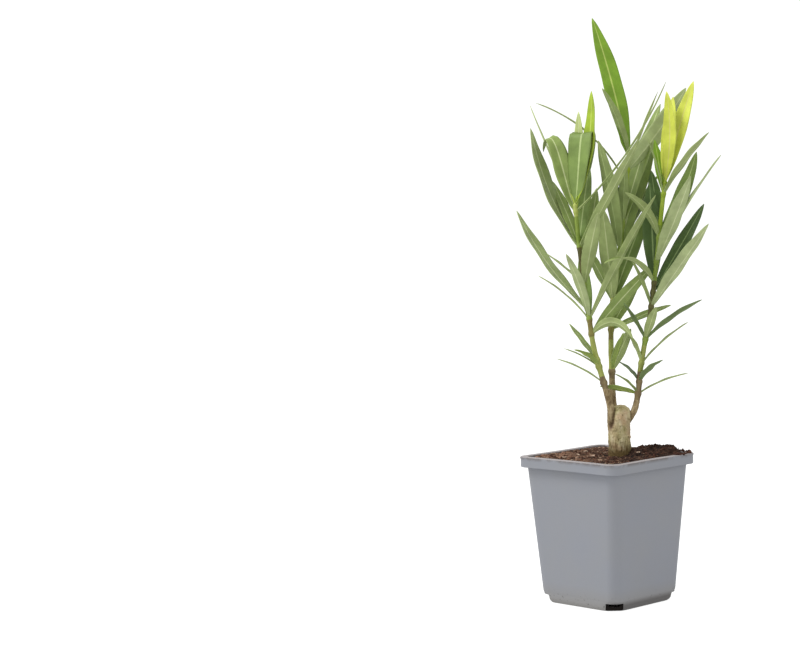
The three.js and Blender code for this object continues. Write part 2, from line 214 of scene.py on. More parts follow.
def start_edit(piece):
    """Opens a piece in edit mode, all of it selected."""
    select_only([piece])
    bpy.ops.object.mode_set(mode="EDIT")
    bpy.ops.mesh.select_all(action="SELECT")


def end_edit():
    """Turns all faces outward and leaves edit mode."""
    bpy.ops.mesh.select_all(action="SELECT")
    bpy.ops.mesh.normals_make_consistent(inside=False)
    bpy.ops.object.mode_set(mode="OBJECT")


def rolled_grid(name, around, rows, place):
    """A closed piece from a grid: place(column, row) gives each point in metres."""
    piece = add_object(bpy.ops.mesh.primitive_grid_add, size=1,
                       x_subdivisions=around, y_subdivisions=rows - 1)
    piece.name = name
    for vertex in piece.data.vertices:
        column = round((vertex.co.x + 0.5) * around)
        row = round((vertex.co.y + 0.5) * (rows - 1))
        vertex.co = place(column % around, row)
    start_edit(piece)
    bpy.ops.mesh.remove_doubles(threshold=1e-6)
    bpy.ops.mesh.select_all(action="DESELECT")
    bpy.ops.mesh.select_non_manifold()
    bpy.ops.mesh.edge_face_add()
    end_edit()
    return piece


def apply_modifier(piece, kind, **settings):
    """Adds one modifier with the given settings and applies it."""
    bpy.context.view_layer.objects.active = piece
    modifier = piece.modifiers.new(kind.lower(), kind)
    for key, value in settings.items():
        setattr(modifier, key, value)
    bpy.ops.object.modifier_apply(modifier=modifier.name)


def join_pieces(parts, name):
    select_only(parts)
    bpy.ops.object.join()
    parts[0].name = name
    return parts[0]


def smooth(piece, angle):
    select_only([piece])
    bpy.ops.object.shade_smooth_by_angle(angle=math.radians(angle))


def seeded_draws(seed):
    """Even draws between 0 and 1, the same ones every time the script runs."""
    state = seed

    def draw():
        nonlocal state
        state = state * 16807 % 2147483647
        return state / 2147483647

    return draw


def mesh_report(piece):
    triangles = sum(len(face.vertices) - 2 for face in piece.data.polygons)
    print(f"{piece.name}: {triangles} triangles, {[round(side * 1000) for side in piece.dimensions]} mm")


# %% [markdown]
# A real surface is never one flat colour, so most finishes mix two or three close colours by a noise that
# reads Object coordinates, in metres, and add a fine bump from another noise.

# %% Helpers for finishes
def object_place(material):
    return add_node(material, "TexCoord").outputs["Object"]


def noise_node(material, scale, detail, stretch=(1, 1, 1), roughness=0.55):
    stretched = add_node(material, "Mapping", Vector=object_place(material), Scale=stretch)
    texture = add_node(material, "TexNoise", Vector=stretched.outputs["Vector"], Scale=scale,
                       Detail=detail, Roughness=roughness)
    return texture.outputs["Fac"]


def ramp_node(material, factor, stops):
    """Colours by a factor: stops are pairs of place and colour."""
    ramp = add_node(material, "ValToRGB", Fac=factor)
    elements = ramp.color_ramp.elements
    while len(elements) < len(stops):
        elements.new(0.5)
    for element, (place, colour) in zip(elements, stops):
        element.position = place
        element.color = colour
    return ramp.outputs["Color"]


def mix_node(material, factor, first, second):
    """first and second are colours or sockets, factor a number or a socket."""
    mix = add_node(material, "Mix")
    mix.data_type = "RGBA"
    set_inputs(material, mix, {"Factor": factor, "A": first, "B": second})
    return mix.outputs["Result"]


def share_node(material, value, none, full):
    """A socket's value as a share, from 0 at none to 1 at full."""
    return add_node(material, "MapRange", Value=value, From_Min=none, From_Max=full).outputs["Result"]


def both_node(material, first, second):
    """Two shares multiplied."""
    product = add_node(material, "Math")
    product.operation = "MULTIPLY"
    connect(material, product.inputs[0], first)
    connect(material, product.inputs[1], second)
    return product.outputs["Value"]


def bump_from(material, factor, strength, distance):
    """A bump of the given height in millimetres."""
    bump = add_node(material, "Bump", Height=factor, Strength=strength, Distance=distance * MM)
    set_shader(material, Normal=bump.outputs["Normal"])


# %% [markdown]
# The pot is a thin moulded box of matte blue-grey plastic. It narrows towards a stepped-in foot and ends in
# a band-like rim, whose long sides are drawn in a little. Every level is a rounded square, so its wall is a
# list of levels, up the outside, over the rim and down the inside to the floor. They lie close together
# where the plastic bends, which gives each edge its rounding.

# %% Pot: sizes and levels
POT_HEIGHT = 135.7
RIM_SIDE = 120.0
RIM_LIP = 9.7
RIM_CORNER = 11.0
RIM_BOW = 1.2
WALL = 1.6
WALL_TOP_SIDE = 109.5
WALL_LOW_SIDE = 92.0
WALL_CORNER = 10.0
FOOT_SIDE = 91.5
FOOT_CORNER = 14.5
FOOT_EDGE = 2.0
FOOT_HEIGHT = 7.6
POT_FLOOR = 2.5
lip_low = POT_HEIGHT - RIM_LIP
wall_slope = (WALL_TOP_SIDE - WALL_LOW_SIDE) / (lip_low - FOOT_HEIGHT)


def wall_side(height):
    return WALL_LOW_SIDE + wall_slope * (height - FOOT_HEIGHT)


def foot_level(height, side, corner):
    return height, FOOT_SIDE + side, FOOT_CORNER + corner, 0


def wall_level(height, bow, side=0, corner=0):
    return height, wall_side(height) + side, WALL_CORNER + corner, bow


def rim_level(height, side, corner):
    return height, RIM_SIDE + side, RIM_CORNER + corner, RIM_BOW


POT_LEVELS = [  # height, side, corner radius, bow
    foot_level(0.0, -2.2 * FOOT_EDGE, FOOT_EDGE),
    foot_level(0.5, -1.6 * FOOT_EDGE, FOOT_EDGE),
    foot_level(1.6, -0.8 * FOOT_EDGE, 0.6 * FOOT_EDGE),
    foot_level(3.2, -0.2 * FOOT_EDGE, 0),
    foot_level(FOOT_HEIGHT - 2.6, 0.1, 0),
    foot_level(FOOT_HEIGHT - 1.5, 0.2, -1.0),
    foot_level(FOOT_HEIGHT - 0.6, 0.5, -3.5),
    (FOOT_HEIGHT + 0.4, WALL_LOW_SIDE - 0.2, WALL_CORNER + 1.5, 0),
    (FOOT_HEIGHT + 1.6, WALL_LOW_SIDE + 0.2, WALL_CORNER + 0.3, 0),
    wall_level(FOOT_HEIGHT + 4.0, 0),
    wall_level(60.0, 0.3),
    wall_level(100.0, 0.7),
    wall_level(lip_low - 3.0, 1.1),
    (lip_low - 0.6, WALL_TOP_SIDE + 0.1, WALL_CORNER, RIM_BOW),
    (lip_low - 0.1, WALL_TOP_SIDE + 1.2, WALL_CORNER + 0.3, RIM_BOW),
    rim_level(lip_low, -1.8, -0.4),
    rim_level(lip_low + 0.3, -0.9, 0),
    rim_level(lip_low + 1.2, -0.8, 0),
    rim_level(POT_HEIGHT - 3.0, -0.9, 0),
    rim_level(POT_HEIGHT - 1.0, -0.1, 0),
    rim_level(POT_HEIGHT - 0.4, -0.3, 0),
    rim_level(POT_HEIGHT, -1.3, -0.6),
    wall_level(POT_HEIGHT, RIM_BOW, -2.2, -0.6),
    (POT_HEIGHT - 0.5, wall_side(POT_HEIGHT) - 3.2, WALL_CORNER - WALL, RIM_BOW),
    wall_level(100.0, 0.7, -2 * WALL, -WALL),
    wall_level(FOOT_HEIGHT + 3, 0, -2 * WALL, -WALL),
    foot_level(FOOT_HEIGHT + 1, -2 * WALL, -WALL),
    foot_level(POT_FLOOR, -2 * WALL - 2 * FOOT_EDGE, 0),
]
CORNER_COLUMNS = 12
SIDE_COLUMNS = 16
AROUND = 4 * (CORNER_COLUMNS + SIDE_COLUMNS)


def rounded_square(column, side, corner, bow):
    """A point of a rounded square in millimetres, its long sides drawn in by bow at their middles."""
    quarter, step = divmod(column, CORNER_COLUMNS + SIDE_COLUMNS)
    flat = side / 2 - corner
    if step < SIDE_COLUMNS:
        along = -1 + 2 * step / SIDE_COLUMNS
        point = Vector((side / 2 - bow * (1 - along * along), along * flat))
    else:
        angle = (step - SIDE_COLUMNS) / CORNER_COLUMNS * math.pi / 2
        point = Vector((flat + corner * math.cos(angle), flat + corner * math.sin(angle)))
    return Matrix.Rotation(quarter * math.pi / 2, 2) @ point


def outline_reach(direction, side, corner):
    """Distance from the middle of a rounded square to its outline along a direction."""
    d = Vector((abs(direction.x), abs(direction.y)))
    if d.y > d.x:
        d = Vector((d.y, d.x))
    half = side / 2
    flat = half - corner
    if half * d.y / d.x <= flat:
        return half / d.x
    along = flat * (d.x + d.y)
    return along + math.sqrt(max(0, along * along - 2 * flat * flat + corner * corner))


def pot_point(column, row):
    height, side, corner, bow = POT_LEVELS[row]
    across = rounded_square(column, side, corner, bow)
    return Vector((across.x, across.y, height)) * MM


pot = rolled_grid("pot_moulded", AROUND, len(POT_LEVELS), pot_point)
mesh_report(pot)

# %% [markdown]
# Water leaves through a slot at each corner of the foot. A slot is a clean cut through wall and floor, made
# as with a punch: a block at each corner and a Boolean difference.

# %% Pot: drainage slots
DRAIN_WIDTH = 16.0
DRAIN_HEIGHT = 7.2
DRAIN_DEPTH = 5.0
corner_reach = FOOT_SIDE / math.sqrt(2) - FOOT_CORNER * (math.sqrt(2) - 1)


def punch_slots(body):
    for quarter in range(4):
        angle = math.pi / 4 + quarter * math.pi / 2
        place = Vector((math.cos(angle), math.sin(angle), 0)) * corner_reach * MM
        punch = add_object(bpy.ops.mesh.primitive_cube_add, size=1, location=place, rotation=(0, 0, angle))
        punch.scale = (2 * DRAIN_DEPTH * MM, DRAIN_WIDTH * MM, 2 * DRAIN_HEIGHT * MM)
        bpy.ops.object.transform_apply(location=True, rotation=True, scale=True)
        apply_modifier(body, "BOOLEAN", operation="DIFFERENCE", object=punch, solver="EXACT")
        bpy.data.objects.remove(punch)


punch_slots(pot)
smooth(pot, 32)
mesh_report(pot)

# %% [markdown]
# Used nursery plastic is a little cloudy, and dusty towards its foot, where watering splashes dirt on it.
# Soil is smeared over the rim's upper edge, and its flat top is rubbed paler. Splashes and smears are sharp
# noises held to their part of the pot by height. The foot of the plant's right face is darkened as painted
# shade. The rubbed rim and the inside of the foot, painted near black as shade, are finishes of their own,
# given face by face.

# %% Pot: finish
def make_pot_finish():
    material = plain_material("blue grey plastic", sight(138, 141, 148), 0.55, 0.35)
    cloudy = ramp_node(material, noise_node(material, 22, 3), [
        (0.3, sight(142, 144, 149)), (0.7, sight(140, 143, 151))])
    _, along, up = add_node(material, "SeparateXYZ", Vector=object_place(material)).outputs
    dusty = mix_node(material, share_node(material, up, 0.020, 0.0), cloudy, sight(141, 139, 136))
    spots = share_node(material, noise_node(material, 330, 2), 0.63, 0.70)
    splash = both_node(material, share_node(material, up, 0.014, 0.0), spots)
    spotted = mix_node(material, splash, dusty, sight(74, 68, 64))
    # Painted shade: the foot of the plant's right face is darkened, where that side lies in shadow.
    right_face = share_node(material, along, -0.030, -0.044)
    foot_shade = both_node(material, right_face, share_node(material, up, 0.0095, 0.005))
    foot_shaded = mix_node(material, foot_shade, spotted, sight(98, 96, 95))
    streaks = share_node(material, noise_node(material, 60, 5, roughness=0.7), 0.38, 0.54)
    smear = both_node(material, share_node(material, up, 0.1320, 0.1360), streaks)
    set_shader(material, Base_Color=mix_node(material, smear, foot_shaded, sight(98, 90, 86)))
    bump_from(material, noise_node(material, 900, 3), 0.35, 0.05)
    return material


def finish_of_face(face):
    """0 the plastic, 1 the rubbed rim, 2 the cut faces and inside of the foot, painted near black as shade.
    """
    if face.normal.z > 0.6 and face.center.z > (POT_HEIGHT - 1) * MM:
        return 1
    flat = Vector(face.center.xy)
    if flat.length < 1e-6 or face.center.z > FOOT_HEIGHT * MM:
        return 0
    outline = outline_reach(flat.normalized(), FOOT_SIDE - 2.2 * FOOT_EDGE, FOOT_CORNER + FOOT_EDGE) * MM
    return 2 if flat.length < outline - 0.5 * MM and face.normal.z > -0.5 else 0


# Painted shade: the inside of the foot, seen through the slots, is near black.
slot_shade = plain_material("stained plastic", sight(34, 30, 28), 0.9, 0.1)
rubbed_rim = plain_material("rubbed rim", sight(152, 146, 146), 0.6, 0.3)
bump_from(rubbed_rim, noise_node(rubbed_rim, 500, 3), 0.4, 0.08)
for finish in (make_pot_finish(), rubbed_rim, slot_shade):
    pot.data.materials.append(finish)
for face in pot.data.polygons:
    face.material_index = finish_of_face(face)
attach(pot, "root")
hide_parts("pot")

# %% [markdown]
# The soil is damp dark peat, filled to just under the rim and heaped at the plant's right and back. The
# same seeded lumps and heaps as in the solid model give its large shape. Its surface is a dense grid,
# pulled to the pot's rounded outline, and a finer noise breaks it into crumbs.

# %% Soil: surface
SEED = 2411
SOIL_LEVEL = 134.4
SOIL_EDGE_DROP = 0.4
SOIL_LUMPS = 60
SOIL_GRID = 170
HEAPS = [(27, -1, 11, 4.5), (38, 22, 18, 6.5), (60, 5, 16, 8)]  # x, y, spread, height
SOIL_SHOULDER = 118.0
SOIL_FOOT_SIDE = FOOT_SIDE - 24
GAP = 0.3
draw = seeded_draws(SEED)
lumps = []
for _ in range(SOIL_LUMPS):
    x = (draw() - 0.5) * WALL_TOP_SIDE
    y = (draw() - 0.5) * WALL_TOP_SIDE
    spread = 3.5 + 4.5 * draw()
    lumps.append((x, y, spread, (draw() - 0.3) * 2.6))
for x, y, spread, rise in HEAPS:
    heap = TURN @ Vector((x, y, 0))
    lumps.append((heap.x, heap.y, spread, rise))


def swell(x, y, at_x, at_y, spread):
    return math.exp(-((x - at_x) ** 2 + (y - at_y) ** 2) / spread**2)


def soil_height(x, y, inward):
    """Height of the soil in millimetres: inward is 0 at the wall and 1 in the middle."""
    height = SOIL_LEVEL - SOIL_EDGE_DROP + SOIL_EDGE_DROP * min(1, 2 * inward)
    settle = min(1, inward * 8)
    height += settle * sum(lump[3] * swell(x, y, lump[0], lump[1], lump[2]) for lump in lumps)
    crumbs = noise.fractal(Vector((x, y, 0)) * 0.16, 0.9, 2.1, 5)
    cracks = abs(noise.noise(Vector((x, y, 40)) * 0.3))
    return height + 1.2 * crumbs - 1.3 * (1 - cracks) ** 4 + 0.5


def soil_surface():
    side = wall_side(SOIL_LEVEL) - 2 * WALL - 0.5
    grid = {"x_subdivisions": SOIL_GRID, "y_subdivisions": SOIL_GRID, "size": 2}
    piece = add_object(bpy.ops.mesh.primitive_grid_add, **grid)
    for vertex in piece.data.vertices:
        flat = Vector(vertex.co.xy)
        ring = max(abs(flat.x), abs(flat.y))
        if ring > 1e-6:
            flat = flat.normalized() * ring * outline_reach(flat.normalized(), side, WALL_CORNER - WALL)
        x, y = flat
        vertex.co = Vector((x, y, soil_height(x, y, 1 - ring))) * MM
    start_edit(piece)
    bpy.ops.mesh.select_all(action="DESELECT")
    bpy.ops.mesh.select_non_manifold()
    for height in (SOIL_SHOULDER, FOOT_HEIGHT + 12, POT_FLOOR + GAP):
        bpy.ops.mesh.extrude_region_move()
        mesh = bmesh.from_edit_mesh(piece.data)
        walled = height > FOOT_HEIGHT + 2
        lower = wall_side(height) if walled else SOIL_FOOT_SIDE
        corner = WALL_CORNER if walled else FOOT_CORNER
        for vertex in mesh.verts:
            if vertex.select:
                flat = Vector(vertex.co.xy).normalized()
                reach = outline_reach(flat, lower - 2 * WALL - 0.9, corner - WALL)
                vertex.co = Vector((flat.x * reach, flat.y * reach, height)) * MM
        bmesh.update_edit_mesh(piece.data)
    bpy.ops.mesh.edge_face_add()
    end_edit()
    piece.name = "soil_peat"
    return piece


soil = soil_surface()
smooth(soil, 60)
mesh_report(soil)

# %% [markdown]
# Peat is near black in its hollows, red-brown where fibres show and, at the plant's left, drier and
# speckled with tan bits of bark. Loose crumbs, fibres and chips are modelled too, because the edge of the
# soil stands against the light: one of each is shaped, and copies are scattered by a seeded rule. More
# crumbs lie spilled on the rim, at its corner on the plant's right.

# %% Soil: finish
def make_peat(name, scale, dark, middle, light, dry=None):
    """Mottled browns. On the plant's left they are mixed towards the dry colour."""
    dark, middle, light = sight(*dark), sight(*middle), sight(*light)
    material = plain_material(name, middle, 0.95, 0.15)
    browns = ramp_node(material, noise_node(material, scale, 6, roughness=0.7), [
        (0.36, dark), (0.52, middle), (0.68, light)])
    if dry:
        turned = add_node(material, "Mapping", Vector=object_place(material), Rotation=(0, 0, -PLANT_TURN))
        parts = add_node(material, "SeparateXYZ", Vector=turned.outputs["Vector"])
        left = share_node(material, parts.outputs["X"], 0.012, -0.045)
        patches = share_node(material, noise_node(material, 120, 5), 0.42, 0.60)
        browns = mix_node(material, both_node(material, left, patches), browns, sight(*dry))
    set_shader(material, Base_Color=browns)
    bump_from(material, noise_node(material, scale * 3, 5), 0.8, 0.5)
    return material


peat = make_peat("damp peat", 210, (22, 15, 12), (50, 35, 28), (94, 68, 53), (146, 113, 92))
crumb_finish = make_peat("peat crumb", 260, (34, 22, 18), (70, 45, 36), (108, 74, 58), (146, 110, 90))
fibre_finish = make_peat("peat fibre", 180, (104, 78, 60), (142, 112, 90), (184, 158, 134))
chip_finish = make_peat("bark chip", 150, (118, 92, 76), (164, 138, 118), (214, 198, 178))
soil.data.materials.append(peat)
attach(soil, "root")
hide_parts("soil")


# %% Soil: loose crumbs, fibres and chips
CRUMBS = 620
FIBRES = 260
CHIPS = 80
SPILLED = 60
SPILL_MIDDLE = -45
SPILL_SPREAD = 30
FULL_TURN = 6.28
ANY_TILT = (0, 171.887)
LYING_TILT = (66, 110)
FLAT_TILT = (-25, 25)
TRUNK_FOOT = (12.2, 0)
TRUNK_CLEARANCE = 12
CORNER_CLEARANCE = 0.66
THINNING = 60


def shape_crumb():
    crumb = add_object(bpy.ops.mesh.primitive_ico_sphere_add, subdivisions=2, radius=1)
    for vertex in crumb.data.vertices:
        vertex.co *= 1 + 0.5 * noise.noise(vertex.co * 1.7)
        vertex.co.z *= 0.7
    return crumb


def shape_fibre():
    rod = {"vertices": 5, "radius": 1, "depth": 2, "end_fill_type": "TRIFAN"}
    fibre = add_object(bpy.ops.mesh.primitive_cylinder_add, **rod)
    start_edit(fibre)
    for level in (0.5, -0.5, 0):
        bpy.ops.mesh.select_all(action="SELECT")
        bpy.ops.mesh.bisect(plane_co=(0, 0, level), plane_no=(0, 0, 1))
    end_edit()
    for vertex in fibre.data.vertices:
        taper = 1 - 0.6 * abs(vertex.co.z)
        vertex.co.x = vertex.co.x * 0.05 * taper + 0.18 * vertex.co.z**2
        vertex.co.y = vertex.co.y * 0.05 * taper + 0.07 * math.sin(3 * vertex.co.z)
    return fibre


def shape_chip():
    chip = add_object(bpy.ops.mesh.primitive_cube_add, size=2)
    start_edit(chip)
    bpy.ops.mesh.subdivide(number_cuts=2)
    end_edit()
    for vertex in chip.data.vertices:
        vertex.co.x *= 1 - 0.3 * vertex.co.y**2
        vertex.co += 0.3 * Vector((noise.noise(vertex.co * 1.3), noise.noise(vertex.co * 1.9), 0))
        vertex.co.z = 0.16 * vertex.co.z + 0.1 * vertex.co.x**2
    return chip


def scatter(model, count, draw, size_of, tilts, sink, name, finish, furthest_right=math.inf):
    """Copies of a model laid on the soil. Beyond furthest_right they grow rarer and end."""
    side = wall_side(SOIL_LEVEL) - 2 * WALL - 4
    copies = []
    trunk = TURN @ Vector((*TRUNK_FOOT, 0))
    while len(copies) < count:
        x = (draw() - 0.5) * side
        y = (draw() - 0.5) * side
        size = size_of(draw)
        turn = turn_with(draw, tilts)
        right = (TURN.inverted() @ Vector((x, y, 0))).x
        by_trunk = math.hypot(x - trunk.x, y - trunk.y) < TRUNK_CLEARANCE
        if by_trunk or math.hypot(x, y) > CORNER_CLEARANCE * side:
            continue
        if right > furthest_right + THINNING * draw():
            continue
        inward = 1 - max(abs(x), abs(y)) / (side / 2 + 2)
        place = Vector((x, y, soil_height(x, y, inward) + sink * max(size)))
        copies.append(laid_copy(model, place, size, turn))
    return soil_piece(model, copies, name, finish)


def copy_of(model):
    copy = model.copy()
    copy.data = model.data.copy()
    bpy.context.collection.objects.link(copy)
    return copy


def laid_copy(model, place, size, turn):
    copy = copy_of(model)
    copy.data.transform(Matrix.Scale(MM, 4) @ Matrix.Translation(place) @ turn @ Matrix.Diagonal((*size, 1)))
    return copy


def spill(model, count, draw, name, finish):
    """Crumbs that lie on the flat top of the rim, at the corner on the plant's right."""
    copies = []
    for _ in range(count):
        size = crumb_size(draw)
        turn = turn_with(draw, ANY_TILT)
        angle = math.radians(SPILL_MIDDLE + SPILL_SPREAD * (draw() - 0.5))
        way = Vector((math.cos(angle), math.sin(angle)))
        inner = outline_reach(way, wall_side(POT_HEIGHT) - 2 * WALL, WALL_CORNER - WALL)
        outer = outline_reach(way, RIM_SIDE - 2, RIM_CORNER)
        reach = inner + (outer - inner) * draw()
        place = Vector((way.x * reach, way.y * reach, POT_HEIGHT + 0.35 * size.z))
        copies.append(laid_copy(model, place, size, turn))
    return soil_piece(model, copies, name, finish)


def soil_piece(model, copies, name, finish):
    bpy.data.objects.remove(model)
    piece = join_pieces(copies, name)
    piece.data.materials.append(finish)
    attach(piece, "root")
    return piece


def crumb_size(draw):
    size = 0.6 + 1.9 * draw() ** 3
    return Vector((size * (0.8 + 0.4 * draw()), size * (0.8 + 0.4 * draw()), size * 0.9))


def fibre_size(draw):
    length = 1.5 + 4.5 * draw() ** 2
    return Vector((3.2, 3.2, length))


def chip_size(draw):
    size = 0.9 + 2.2 * draw() ** 2
    return Vector((size, size * (0.5 + 0.4 * draw()), size))


def turn_with(draw, tilts):
    """Any turn about the vertical, after a tilt between two angles."""
    spin = Matrix.Rotation(FULL_TURN * draw(), 4, "Z")
    return spin @ Matrix.Rotation(math.radians(tilts[0] + (tilts[1] - tilts[0]) * draw()), 4, "X")


draw = seeded_draws(SEED + 1)
crumbs = scatter(shape_crumb(), CRUMBS, draw, crumb_size, ANY_TILT, -0.15, "soil_crumbs", crumb_finish)
fibres = scatter(shape_fibre(), FIBRES, draw, fibre_size, LYING_TILT, 0.03, "soil_fibres", fibre_finish, 0)
chips = scatter(shape_chip(), CHIPS, draw, chip_size, FLAT_TILT, 0.15, "soil_chips", chip_finish, -30)
spilled = spill(shape_crumb(), SPILLED, draw, "soil_spilled", crumb_finish)
for piece in (crumbs, fibres, chips, spilled):
    mesh_report(piece)

# %% [markdown]
# Every shoot is one limb along a Catmull-Rom line through a few middles, from inside the trunk to its tip,
# the same line as in the solid model. Whorls of leaves sit at given heights of it. A leaf is given by the
# way it points, how far out and up its tip lies, how strongly it arches and its palette, which sets its
# colour, and where they matter by its width, its roll and how sharply its end folds over. The palette is
# mostly the leaf's age, but leaves in shade get paler palettes as painted light.

# %% Shoots and leaves
# The age of a leaf names its palette; leaves in shade have a paler palette there, painted light.
SHOOTS = {  # a leaf: direction, reach, rise, arch, age, width, roll, fold
    "left": {
        "path": [(8, -2, 156), (5, -5.5, 170), (4, -7, 182), (-2, -8, 205), (-10, -9, 236),
                 (-14.5, -9, 270), (-20.5, -9, 318), (-24.7, -9, 370)],
        "radii": (4.2, 1.9), "bough_top": 198, "mass_split": 283,
        "whorls": [
            (203, [(180, 43, 23, 0.1, "soft", 0.55)]),
            (218, [(212, 26, 17, 0.16, "fresh", 1.25), (172, 32, 17, 0.1, "ripe", 0.5)]),
            (224, [(140, 33, 33, 0, "soft")]),
            (248, [(340, 40, -4, 0.66, "soft", 1, -62), (14, 60, 62, 0.02, "soft", 0.9, 60)]),
            (262, [(185, 46, 41, 0.1, "soft", 0.75), (240, 39, 61, 0.1, "painted_light", 0.9),
                   (100, 45, 58, 0.06, "ripe"), (340, 66, 112, 0.02, "soft", 0.7, -10)]),
            (271, [(147, 78, 92, -0.11, "painted_light", 1.05)]),
            (294, [(290, 42, 66, 0.04, "soft", 1.15), (175, 34, 29, 0.03, "soft"),
                   (75, 50, 88, 0.03, "soft", 1, 50)]),
            (328, [(150, 50, 111, -0.12, "painted_light", 1.1), (128, 40, 62, 0.04, "soft"),
                   (318, 75, 97, -0.02, "soft", 0.62, -8), (72, 34, 74, 0.05, "ripe")]),
            (361, [(125, 73, 101, -0.02, "soft", 0.35, 44), (140, 38, 56, 0, "soft", 1.3, -25, 0.9),
                   (345, 86, 114, -0.11, "soft", 0.45, 5)]),
            (367, [(60, 23, 26, 0, "ripe", 1.35, 0, 3.13), (40, 22, 104, -0.12, "spring"),
                   (78, 22, 86, -0.14, "pale", 0.75)]),
        ],
    },
    "middle": {
        "path": [(9, 3.5, 160), (7, 6.5, 176), (6.3, 8, 190), (6.2, 9, 215), (5.9, 9, 240), (7.6, 10, 270),
                 (15.6, 12, 324), (21.5, 14, 372), (25.8, 15, 413)],
        "radii": (4.2, 1.8), "bough_top": 206, "mass_split": 300,
        "whorls": [
            (212, [(330, 21, 40, 0.05, "soft", 1.35, -40), (304, 20, 37, 0.02, "fresh", 1.2, 20)]),
            (251, [(10, 57, 21, 0.03, "soft", 1, 25), (30, 31, 43, 0.05, "soft", 1.4, 40)]),
            (277, [(143, 34, 54, 0.03, "soft", 1.3), (255, 30, 86, 0.02, "soft", 1.25),
                   (25, 40, 90, 0.03, "ripe", 1, 55)]),
            (324, [(232, 29, 101, 0.04, "ripe"), (50, 60, 124, 0.04, "soft", 1.25),
                   (30, 43, 69, 0.05, "ripe")]),
            (347, [(37, 47, 112, 0.03, "soft", 1.1), (280, 20, 56, 0.06, "ripe"),
                   (120, 26, 56, 0.05, "old")]),
            (385, [(170, 84, 78, 0.2, "soft", 0.4, 3)]),
            (398, [(20, 59, 75, -0.05, "painted_light", 1.15, -85), (320, 37, 70, 0.02, "soft", 0.35)]),
            (410, [(137, 43, 131, 0.04, "fresh", 1, -15), (213, 28, 63, 0.1, "ripe"),
                   (110, 24, 30, 0.05, "fresh")]),
        ],
    },
    "right": {
        "path": [(18, 0, 163), (22.5, -0.5, 171), (27, -1, 179), (30.4, -1, 196), (32, -1, 212),
                 (37.4, -2, 242), (42.8, -3, 270), (48.7, -4, 313), (53, -4, 350), (58, -4, 389)],
        "radii": (3.6, 1.9), "bough_top": 187, "mass_split": 257,
        "whorls": [
            (192, [(178, 35, 7, 0.05, "fresh", 1, 30), (200, 22, 19, 0.14, "ripe"),
                   (0, 46, 18, 0.1, "soft", 0.8)]),
            (203, [(160, 19, 18, 0.12, "old"), (320, 28, 21, 0.12, "old", 1.6)]),
            (220, [(200, 14, 30, 0.1, "soft"), (0, 43, 37, 0.08, "soft")]),
            (242, [(215, 24, 35, 0.03, "old"), (348, 53, 36, 0.08, "old", 1, -28),
                   (292, 26, 31, 0.03, "soft")]),
            (272, [(205, 19, 44, 0.05, "ripe", 0.85), (325, 63, 75, 0, "painted_light", 1.15, -14)]),
            (285, [(45, 71, 80, -0.02, "old", 0.8, 30)]),
            (294, [(226, 65, 20, 0.36, "soft"), (100, 13, 92, 0.02, "old", 1.15)]),
            (313, [(302, 57, 77, -0.03, "painted_light", 1.2), (2, 60, 96, 0.05, "painted_light")]),
            (335, [(215, 37, 42, 0.22, "soft", 1, 35), (100, 30, 62, 0.05, "old", 1.2),
                   (30, 42, 78, -0.1, "ripe", 1, 32)]),
            (375, [(330, 47, 54, 0.06, "soft", 1.2), (200, 15, 52, 0.05, "ripe", 0.7, -21),
                   (113, 18, 50, 0.02, "fresh")]),
            (386, [(340, 3, 82, -0.1, "young", 1, 75), (43, 39, 92, 0.02, "young", 0.95, 25),
                   (62, 20, 78, 0.02, "young")]),
        ],
    },
}


def limb_point(path, share):
    """The Catmull-Rom line through the middles of a limb, at a share of the way along it."""
    spans = len(path) - 1
    place = min(max(share, 0), 1) * spans
    index = min(int(place), spans - 1)
    weight = place - index
    points = [Vector(p) for p in path]
    start, end = points[index], points[index + 1]
    before = points[index - 1] if index else 2 * start - end
    after = points[index + 2] if index + 2 <= spans else 2 * end - start
    leave = (end - before) / 2
    arrive = (after - start) / 2
    square, cube = weight**2, weight**3
    return (start * (2 * cube - 3 * square + 1) + leave * (cube - 2 * square + weight)
            + end * (3 * square - 2 * cube) + arrive * (cube - square))


def share_at_height(path, height):
    low, high = 0.0, 1.0
    for _ in range(40):
        half = (low + high) / 2
        if limb_point(path, half).z < height:
            low = half
        else:
            high = half
    return (low + high) / 2


def limb_radius(shoot, share):
    thick, thin = shoot["radii"]
    return thick + (thin - thick) * math.sqrt(share)


for name, shoot in SHOOTS.items():
    print(name, "shoot:", sum(len(leaves) for _, leaves in shoot["whorls"]), "leaves")

# %% [markdown]
# Trunk and boughs are one living skin. The trunk is a rolled grid through its measured radii, and each
# bough is a curve with a bevel, made a mesh. Joined, they are remeshed in small voxels and smoothed, which
# heals the joints as bark does. Then every point is moved a little for bark relief: long shallow ribs, fine
# wrinkles, a sunken crease where a bough leaves the trunk, which the finish darkens as painted shade, and a
# raised collar beside it.

# %% Trunk and boughs: shape
TRUNK_STATIONS = [  # height above the cut, radius, lean
    (-4, 11, 0.2), (0, 10.8, 0.2), (6, 10.4, 0), (16, 10.1, -0.6), (26, 10, -0.4), (35.5, 10.5, 0.2),
    (41, 9.8, 0.8), (44.5, 7.6, 1.2), (46.6, 4.2, 1.4), (47.4, 0.3, 1.4),
]
TRUNK_BOTTOM = TRUNK_STATIONS[0][0]
TRUNK_TOP = TRUNK_STATIONS[-1][0]
TRUNK_COLUMNS = 40
TRUNK_ROWS = 56
BOUGH_BELLY = 0.15
BARK_VOXEL = 0.55


def trunk_at(height):
    """Radius and lean of the trunk at a height above its cut, smoothed between its stations."""
    for (low, wide, lean), (high, wide_up, lean_up) in zip(TRUNK_STATIONS, TRUNK_STATIONS[1:]):
        if height <= high:
            share = (height - low) / (high - low)
            share = share * share * (3 - 2 * share) if height < 40 else share
            return wide + (wide_up - wide) * share, lean + (lean_up - lean) * share
    return TRUNK_STATIONS[-1][1:]


